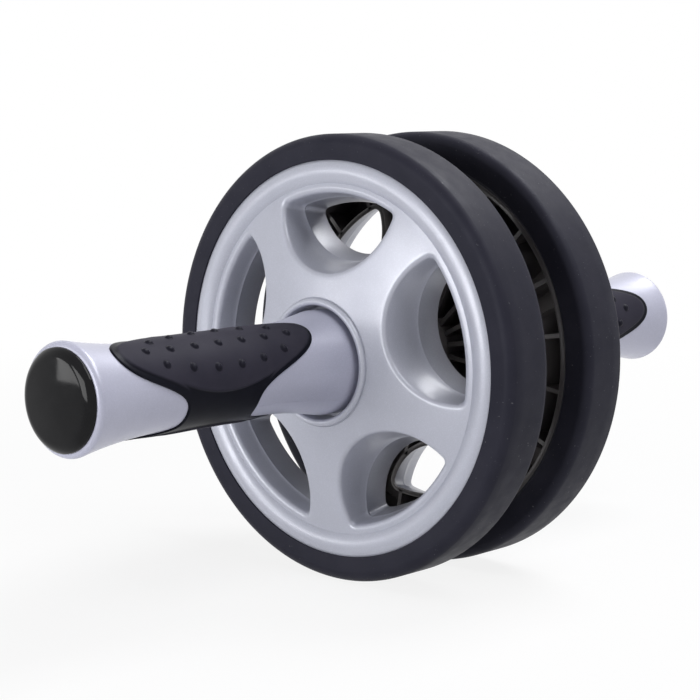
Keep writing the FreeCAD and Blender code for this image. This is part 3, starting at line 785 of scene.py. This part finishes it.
def back_ribs(shell, side):
    """Thin ribs behind the face, whole behind a spoke's middle and elsewhere parted by a pocket."""
    low = POCKET_BACK[0]
    hub, rim = HUB_RADIUS - RIB_HUB_BITE, RIM_INNER_RADIUS + RIB_RIM_BITE
    turn_in = COLLAR_RADIUS - RIB_COLLAR_BITE
    floor = HUB_FLOOR_LEVEL - HUB_FLOOR_WALL / 2
    rim_top = mid_face(GROOVE_RADIUS)
    start = [(turn_in, mid_face(COLLAR_RADIUS)), (turn_in, floor), (hub, floor), (hub, low)]
    finish = [(rim, low), (rim, rim_top), (GROOVE_RADIUS, rim_top)]
    crown = [(radius, mid_face(radius)) for radius in RIB_CROWN_RADII]
    step = 2 * math.pi / RIBS
    for number in range(RIBS):
        angle = number * step
        to_pocket = (angle + HALF_STEP) % (2 * HALF_STEP) - HALF_STEP
        if abs(abs(to_pocket) - HALF_STEP) > SPOKE_TOLERANCE:
            outlines = [start + rib_stop(to_pocket, 0), finish + rib_stop(to_pocket, 1)[::-1]]
        else:
            outlines = [start + finish + crown]
        for outline in outlines:
            # The ribs get painted shade in full
            shell.slab(side, outline, angle + WHEEL_TURN[side], RIB_WIDTH, 1.0)


def make_wheel(side):
    """The wheel's moulding: five sectors with a pocket each, the rim, the hub and the ribs."""
    shell = Shell()
    runs = outline_runs()
    upper = [pocket_section(run) for run in runs]
    lower = [[(Vector((spot.x, -spot.y)), level, painted_shade) for spot, level, painted_shade in line]
             for line in reversed(upper[1:-1])]
    lines = upper + lower
    rows = range(len(upper[0]))
    sector_turns = [WHEEL_TURN[side] + 2 * HALF_STEP * number for number in range(SPOKES)]
    for angle in sector_turns:
        rings = [[place(side, *turned(line[row][0], angle), line[row][1]) for line in lines]
                 for row in rows]
        shell.strip(rings, marks=[upper[0][row][2] for row in rows])
    for outline, kind in ((rim_outline(), "groove"), (hub_outline(), "collar")):
        sector = ring_angles(runs, kind)
        # Behind a set level the rim and hub get painted shade in full
        shell.lathe(side, outline, [turn + angle for turn in sector_turns for angle in sector], loop=False,
                    marks=[1.0 if level < PAINTED_SHADE_LEVEL else 0.0 for _, level in outline])
    back_ribs(shell, side)
    return shell.piece(
        f"{side}_wheel_moulding", f"{side}_wheel_set", f"{side}_wheel", wheel_silver)


# Tyre

TYRE_SEGMENTS = 240
SHOULDER_WIDTH = 3.1
SHOULDER_DROP = 5.2
ROUND_SHARE = 0.707
INNER_ROUND = 4.0
INNER_ROUND_STEPS = 10
BEVEL_ROUND = 0.6
SHOULDER_STEPS = 12
TREAD_SHARES = (0.35, 0.7)
LIP_EDGE_ROUND = 0.35


def make_tyre(side):
    """A solid tyre: bevelled seat, rounded inner edge, flat tread and a soft outer shoulder."""
    tread_end = TYRE_OUTER_LEVEL - SHOULDER_WIDTH
    shoulder = TYRE_RADIUS - SHOULDER_DROP
    outline = [(TYRE_SEAT_RADIUS, FLANGE_LEVEL), (TYRE_SEAT_RADIUS, RIM_BACK_LEVEL)]
    bevel_end = (TYRE_SEAT_RADIUS + SEAT_BEVEL, TYRE_INNER_LEVEL)
    inner_corner = (TYRE_RADIUS, TYRE_INNER_LEVEL)
    tread_start = TYRE_INNER_LEVEL + INNER_ROUND
    outline += fillet(outline[-1], bevel_end, inner_corner, BEVEL_ROUND, EDGE_STEPS)
    outline += fillet(outline[-1], inner_corner, (TYRE_RADIUS, tread_end), INNER_ROUND, INNER_ROUND_STEPS)
    outline += [(TYRE_RADIUS, blend(tread_start, tread_end, share)) for share in TREAD_SHARES]
    outline += arc(
        (TYRE_RADIUS, tread_end),
        (shoulder + SHOULDER_DROP * ROUND_SHARE, tread_end + SHOULDER_WIDTH * ROUND_SHARE),
        (shoulder, TYRE_OUTER_LEVEL), SHOULDER_STEPS)
    lip_foot = (LIP_RADIUS, FLANGE_LEVEL)
    outline += fillet(outline[-1], (LIP_RADIUS, TYRE_OUTER_LEVEL), lip_foot, LIP_EDGE_ROUND, EDGE_STEPS)
    outline.append(lip_foot)
    shell = Shell()
    shell.lathe(side, outline, even_angles(TYRE_SEGMENTS))
    return shell.piece(f"{side}_tyre_rubber", f"{side}_wheel_set", f"{side}_tyre", tyre_rubber)


# Handle

taper_radius = arc_height(
    (NECK_END, NECK_RADIUS),
    ((NECK_END + WAIST_START) / 2, blend(WAIST_RADIUS, NECK_RADIUS, BEND_SHARE)),
    (WAIST_START, WAIST_RADIUS))
flare_radius = arc_height(
    (FLARE_END, FLARE_RADIUS),
    ((WAIST_END + FLARE_END) / 2, blend(WAIST_RADIUS, FLARE_RADIUS, BEND_SHARE)),
    (WAIST_END, WAIST_RADIUS))


def handle_radius(level):
    """The handle's radius from its neck to its flare."""
    if level < NECK_END:
        return NECK_RADIUS
    if level < WAIST_START:
        return taper_radius(level)
    if level < WAIST_END:
        return WAIST_RADIUS
    return flare_radius(min(level, FLARE_END))


HANDLE_SEGMENTS = 128
HANDLE_ROWS = 64
NECK_STEPS = 4
END_STEPS = 10


def handle_angles():
    """Even angles, with a few close together at each parting line."""
    even = [angle for angle in even_angles(HANDLE_SEGMENTS)
            if all(abs(angle - line) > PARTING_CLEARANCE for line in PARTING_LINES)]
    return sorted(even + [line + math.radians(shift) for line in PARTING_LINES for shift in PARTING_SHIFTS])


def make_handle(side):
    """The handle's shell: neck, waist, flare and rounded end, with its screw recess and bore."""
    end_middle = (FLARE_RADIUS - END_SAG, (FLARE_END + HANDLE_END) / 2)
    start = [(BORE_RADIUS, HANDLE_START)]
    start += fillet(start[0], (NECK_RADIUS, HANDLE_START), (NECK_RADIUS, NECK_END), NECK_ROUND, NECK_STEPS)
    span = FLARE_END - NECK_END
    side_rows = [NECK_END + span * step / HANDLE_ROWS for step in range(HANDLE_ROWS)]
    outside = [(handle_radius(level), level) for level in side_rows]
    end = arc((FLARE_RADIUS, FLARE_END), end_middle, (END_RADIUS, HANDLE_END), END_STEPS)
    recess_floor = BOSS_TOP_LEVEL - SCREW_WASHER_THICKNESS
    inside = [
        (PLUG_RADIUS + PLUG_CLEARANCE, HANDLE_END),
        (PLUG_RADIUS + PLUG_CLEARANCE, recess_floor),
        (BOSS_RADIUS, recess_floor),
        (BOSS_RADIUS, BOSS_TOP_LEVEL),
        (BORE_RADIUS, BOSS_TOP_LEVEL),
    ]
    angles = handle_angles()
    parted = [any(abs(angle - line) < PARTING_TOLERANCE for line in PARTING_LINES) for angle in angles]
    rings = []
    for radius, level in start + outside + end + inside:
        depth = PARTING_DEPTH if NECK_END <= level < GRIP_MIDDLE else 0.0
        rings.append([place(side, *polar(radius - depth * on_line, angle), level)
                      for angle, on_line in zip(angles, parted)])
    shell = Shell()
    shell.strip(rings, loop=True)
    return shell.piece(f"{side}_handle_shell", "handlebar", f"{side}_handle", handle_silver)


# Grip

GRIP_COLUMNS = 336
GRIP_ROWS = 120
HIDDEN_ROWS = 14
EDGE_SHARES = (0.06, 0.2, 0.42, 0.7, 1.0)
GRIP_SHARP_ANGLE = 40
BUMP_SEGMENTS = 16
SLOPE_SPAN = 1.0


def grip_reach(offset):
    """How far the sleeve reaches from its middle, at an angle from the middle of a pad."""
    return sum(size * math.cos(2 * order * offset) for order, size in enumerate(GRIP_REACH))


def grip_lean(offset):
    """How steeply the sleeve's edge runs there, as rise over run."""
    rise = sum(-2 * order * size * math.sin(2 * order * offset) for order, size in enumerate(GRIP_REACH))
    return rise / (WAIST_RADIUS + GRIP_WEB)


def pad_offset(offset):
    """How far an angle lies from the middle of the nearer of the two finger pads."""
    return (offset + math.pi / 2) % math.pi - math.pi / 2


def pad_share(level, offset):
    """1 on the raised pads and 0 on the border and webs round them, and the ridge on their creases."""
    outward = 1 if level > GRIP_MIDDLE else -1
    inset = (grip_reach(offset) - abs(level - GRIP_MIDDLE)) / math.hypot(1, grip_lean(offset))
    border = smooth_step((inset - PAD_BORDER[outward]) / PAD_STEP_WIDTH + 0.5)
    along = abs(level - PAD_MIDDLE) / PAD_CREASE_HALF
    crease = PAD_HALF_ANGLE - PAD_NARROWING * min(along, PAD_CREASE_LIMIT_SHARE) ** 2
    past = (abs(pad_offset(offset)) - crease) * WAIST_RADIUS
    open_end = smooth_step((along - PAD_OPEN_SHARE) / PAD_OPENING_SHARE)
    web = max(1 - smooth_step(past / PAD_STEP_WIDTH + 0.5), open_end)
    ridge = math.exp(-(past / PAD_STEP_WIDTH + 1.0) ** 2) * (1 - open_end)
    return min(border, web), ridge


def grip_height(level, offset):
    """The sleeve's thickness: thin at its border and webs, with raised pads whose edges stand proud."""
    share, ridge = pad_share(level, offset)
    return GRIP_WEB + PAD_RISE * share + PAD_RIDGE * ridge


def sleeve_end(outward, offsets):
    """The rows round one edge of the sleeve, from its sunken inside up to its full height.

    Each point has its level, its depth and its share of the sleeve's height.
    """
    lead = [(0.0, -GRIP_SINK, 0.0), (0.0, 0.0, 0.0)]
    lead += [(GRIP_EDGE_ROUND * share, 0.0, math.sqrt(1 - (1 - share) ** 2)) for share in EDGE_SHARES]
    return [[(GRIP_MIDDLE + outward * (grip_reach(offset) - inset), depth, share) for offset in offsets]
            for inset, depth, share in lead]


def make_grip(side):
    """The rubber sleeve with its rounded edges, raised pads and rows of bumps."""
    offsets = even_angles(GRIP_COLUMNS)
    shell = Shell()
    rows = sleeve_end(-1, offsets)
    for row in range(1, GRIP_ROWS):
        along = 2 * row / GRIP_ROWS - 1
        rows.append([(GRIP_MIDDLE + along * (grip_reach(offset) - GRIP_EDGE_ROUND), 0.0, 1.0)
                     for offset in offsets])
    rows += reversed(sleeve_end(1, offsets))
    for row in range(1, HIDDEN_ROWS):
        along = 1 - 2 * row / HIDDEN_ROWS
        rows.append([(GRIP_MIDDLE + along * grip_reach(offset), -GRIP_SINK, 0.0) for offset in offsets])
    rings = []
    for row in rows:
        ring = []
        for offset, (level, depth, share) in zip(offsets, row):
            height = depth + share * grip_height(level, offset) if share else depth
            ring.append(place(side, *polar(handle_radius(level) + height, GRIP_TURN[side] + offset), level))
            shell.marks.append(pad_share(level, offset)[0] if share else 0.0)
        rings.append(ring)
    shell.strip(rings, loop=True)
    add_bumps(shell, side)
    return shell.piece(
        f"{side}_grip_sleeve", "handlebar", f"{side}_grip", grip_rubber, GRIP_SHARP_ANGLE)


def bump_places():
    """The level and angle of each bump on one pad, as a middle row and two curved side rows."""
    for step in range(-BUMP_REACH, BUMP_REACH + 1):
        yield BUMP_MIDDLE + step * BUMP_PITCH, BUMP_MIDDLE_TURN
    row_half = (BUMP_REACH - 0.5) * BUMP_PITCH
    for step in range(-BUMP_REACH, BUMP_REACH):
        along = (step + 0.5) * BUMP_PITCH
        turn = BUMP_ROW_ANGLE - BUMP_ROW_NARROWING * (along / row_half) ** 2
        yield BUMP_MIDDLE + along, turn
        yield BUMP_MIDDLE + along, -turn


def add_bumps(shell, side):
    """Small domes with a soft foot, standing square on the sleeve."""
    around = even_angles(BUMP_SEGMENTS)
    for pad_turn in (0.0, math.pi):
        for level, turn in bump_places():
            offset = pad_turn + turn
            base = handle_radius(level) + grip_height(level, offset)
            angle = GRIP_TURN[side] + offset
            rise = handle_radius(level + SLOPE_SPAN / 2) - handle_radius(level - SLOPE_SPAN / 2)
            slope = rise / SLOPE_SPAN
            rings = []
            for wide, high in BUMP_SHARES:
                ring = []
                for spin in around:
                    along, across = polar(wide * BUMP_RADIUS, spin)
                    radius = base + high * BUMP_HEIGHT + slope * along
                    ring.append(place(side, *polar(radius, angle + across / base), level + along))
                rings.append(ring)
            floor = rings[0]
            centre = sum(floor, Vector()) / len(floor)
            shell.strip([[centre] * len(around)] + rings)
            shell.marks += [BUMP_MATT] * (len(around) * (len(rings) + 1))


# End cap

CAP_RINGS = 16
CAP_SEGMENTS = 192
CAP_SHOULDER_STEPS = 12
CAP_SHARP_ANGLE = 50


def make_cap(side):
    """A polished dome with a full, rounded shoulder and the ring that plugs the handle."""
    shoulder = CAP_RADIUS - CAP_SHOULDER_WIDTH
    bend = (shoulder + CAP_SHOULDER_WIDTH * CAP_BEND_SHARES[0],
            blend(CAP_EDGE_LEVEL, CAP_SHOULDER_LEVEL, CAP_BEND_SHARES[1]))
    crown = arc_height((-shoulder, CAP_SHOULDER_LEVEL), (0, CAP_TOP_LEVEL), (shoulder, CAP_SHOULDER_LEVEL))
    under = CAP_SHOULDER_LEVEL - CAP_WALL
    plug_end = HANDLE_END - PLUG_LENGTH
    crown_radii = [shoulder * (1 - step / CAP_RINGS) for step in range(1, CAP_RINGS + 1)]
    outline = [
        (0, under),
        (PLUG_RADIUS - PLUG_WALL, under),
        (PLUG_RADIUS - PLUG_WALL, plug_end),
        (PLUG_RADIUS, plug_end),
        (PLUG_RADIUS, HANDLE_END),
        (CAP_RADIUS, HANDLE_END),
        *arc((CAP_RADIUS, CAP_EDGE_LEVEL), bend, (shoulder, CAP_SHOULDER_LEVEL), CAP_SHOULDER_STEPS),
        *((radius, crown(radius)) for radius in crown_radii),
    ]
    shell = Shell()
    shell.lathe(side, outline, even_angles(CAP_SEGMENTS), loop=False)
    return shell.piece(
        f"{side}_cap_dome", "handlebar", f"{side}_end_cap", cap_gloss, CAP_SHARP_ANGLE)


for side in OUTWARD:
    make_wheel(side)
    make_tyre(side)
    make_handle(side)
    make_grip(side)
    make_cap(side)

# Pieces that stay as the frame has them
KEPT = {
    "axle": axle_steel,
    "centre_spacer": bush_acetal,
    "outer_bush": bush_acetal,
    "inner_bush": bush_acetal,
    "thrust_washer": zinc_steel,
    "end_screw": zinc_steel,
    "screw_washer": zinc_steel,
}
for name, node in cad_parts.items():
    for ending, material in KEPT.items():
        if name.endswith(ending):
            node.data.materials.clear()
            node.data.materials.append(material)


# Stage, lights and camera

# In metres: the floor's half width, and the distances from its middle over which its glow rises
FLOOR_HALF_WIDTH = 40.0
GLOW_SHARES = (0.86, 1.0)
GLOW_DISTANCES = (0.28, 0.75)
WORLD_FILL = 0.03


def seen_directly(nodes, links):
    """1 for rays that show a surface or its mirror image, and 0 for the light that falls on things."""
    path = nodes.new("ShaderNodeLightPath")
    seen = path.outputs["Is Camera Ray"]
    for ray in ("Is Glossy Ray", "Is Transmission Ray"):
        join = nodes.new("ShaderNodeMath")
        join.operation = "MAXIMUM"
        links.new(seen, join.inputs[0])
        links.new(path.outputs[ray], join.inputs[1])
        seen = join.outputs[0]
    return seen


def white_paper(name):
    """Studio paper that shows white, and near the object keeps a share of the shadow on it."""
    paint = Paint(name, Roughness=0.9, Specular_IOR_Level=0.1)
    paint.colour(paint.mix(paint.spread(paint.noise(900, 2), 0, 1), (0.80, 0.80, 0.81), (0.83, 0.83, 0.84)))
    nodes, links = paint.nodes, paint.links
    away = nodes.new("ShaderNodeVectorMath")
    away.operation = "LENGTH"
    links.new(paint.place, away.inputs[0])
    share = nodes.new("ShaderNodeMath")
    share.operation = "MULTIPLY"
    links.new(seen_directly(nodes, links), share.inputs[0])
    links.new(paint.spread(away.outputs["Value"], *GLOW_SHARES, *GLOW_DISTANCES), share.inputs[1])
    glow = nodes.new("ShaderNodeEmission")
    mixed = nodes.new("ShaderNodeMixShader")
    links.new(share.outputs[0], mixed.inputs["Fac"])
    links.new(paint.shader.outputs["BSDF"], mixed.inputs[1])
    links.new(glow.outputs["Emission"], mixed.inputs[2])
    links.new(mixed.outputs["Shader"], nodes["Material Output"].inputs["Surface"])
    return paint.material


def make_floor():
    half = FLOOR_HALF_WIDTH
    mesh = bpy.data.meshes.new("floor")
    corners = [(-half, -half, 0), (half, -half, 0), (half, half, 0), (-half, half, 0)]
    mesh.from_pydata(corners, [], [(0, 1, 2, 3)])
    mesh.materials.append(white_paper("studio_paper"))
    floor = bpy.data.objects.new("floor", mesh)
    bpy.context.scene.collection.objects.link(floor)


def make_world():
    """White to look at, with only a low even fill from it."""
    world = bpy.data.worlds.new("studio")
    world.use_nodes = True
    bpy.context.scene.world = world
    nodes, links = world.node_tree.nodes, world.node_tree.links
    strength = nodes.new("ShaderNodeMapRange")
    strength.inputs["To Min"].default_value = WORLD_FILL
    links.new(seen_directly(nodes, links), strength.inputs["Value"])
    background = nodes["Background"]
    background.inputs["Color"].default_value = (1, 1, 1, 1)
    links.new(strength.outputs["Result"], background.inputs["Strength"])


OBJECT_MIDDLE = Vector((0, 0, AXLE_HEIGHT * MM))


def softbox(name, azimuth, elevation, distance, width, height, watts):
    """A rectangular lamp that faces the object, placed by its direction from it."""
    lamp = bpy.data.lights.new(name, "AREA")
    lamp.shape = "RECTANGLE"
    lamp.size, lamp.size_y = width, height
    lamp.energy = watts
    turn, rise = math.radians(azimuth), math.radians(elevation)
    away = Vector((math.sin(turn) * math.cos(rise), -math.cos(turn) * math.cos(rise), math.sin(rise)))
    made = bpy.data.objects.new(name, lamp)
    made.location = OBJECT_MIDDLE + away * distance
    made.rotation_euler = away.to_track_quat("Z", "Y").to_euler()
    bpy.context.scene.collection.objects.link(made)


CAMERA_PLACE = Vector((541.53, -629.39, 202.33)) * MM
CAMERA_LOOK = Vector((-0.66276, 0.73735, -0.13061))
CAMERA_LENS = 101.32
SENSOR_WIDTH = 36


def make_camera():
    camera = bpy.data.cameras.new("photo_camera")
    camera.sensor_width = SENSOR_WIDTH
    camera.lens = CAMERA_LENS
    made = bpy.data.objects.new("photo_camera", camera)
    made.location = CAMERA_PLACE
    made.rotation_euler = CAMERA_LOOK.to_track_quat("-Z", "Y").to_euler()
    bpy.context.scene.collection.objects.link(made)
    bpy.context.scene.camera = made


make_floor()
make_world()
softbox("key_front", azimuth=-8, elevation=6, distance=1.5, width=0.85, height=0.75, watts=14.2)
softbox("low_left", azimuth=-37, elevation=3, distance=1.5, width=0.30, height=0.40, watts=2.0)
softbox("high_right", azimuth=93, elevation=57, distance=1.6, width=0.8, height=0.8, watts=13)
softbox("high_back", azimuth=170, elevation=60, distance=1.6, width=0.8, height=0.8, watts=20)
make_camera()
bpy.context.scene.view_settings.view_transform = "Standard"
